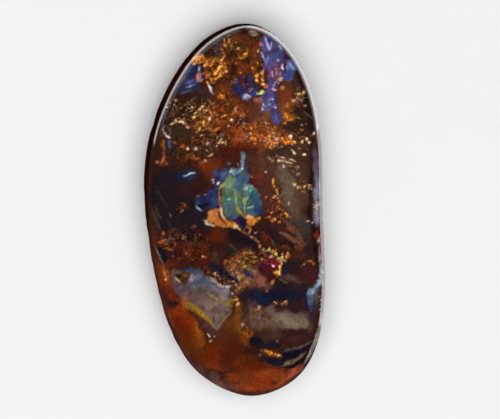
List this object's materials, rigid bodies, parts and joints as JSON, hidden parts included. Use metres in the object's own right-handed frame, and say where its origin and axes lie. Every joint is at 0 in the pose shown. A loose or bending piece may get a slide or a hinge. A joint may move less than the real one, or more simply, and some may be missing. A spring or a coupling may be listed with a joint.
{
  "type": "polished boulder opal",
  "caption": "Freeform oval slab of polished boulder opal, dark ironstone laced with blue, green and lilac opal, with a rounded rim and a flat ground back.",
  "frame": {"origin": "on the ground back, under the middle of the stone's outline", "axes": "+X across the stone, +Y along it towards the end that is uppermost in the picture, +Z out of the polished face"},
  "size_m": [0.021, 0.043, 0.006],
  "materials": {
    "boulder_opal": "polished dark brown ironstone with seams of precious opal; satin ground back"
  },
  "bodies": {
    "root": {"boulder_opal": "boulder_opal"}
  },
  "joints": []
}
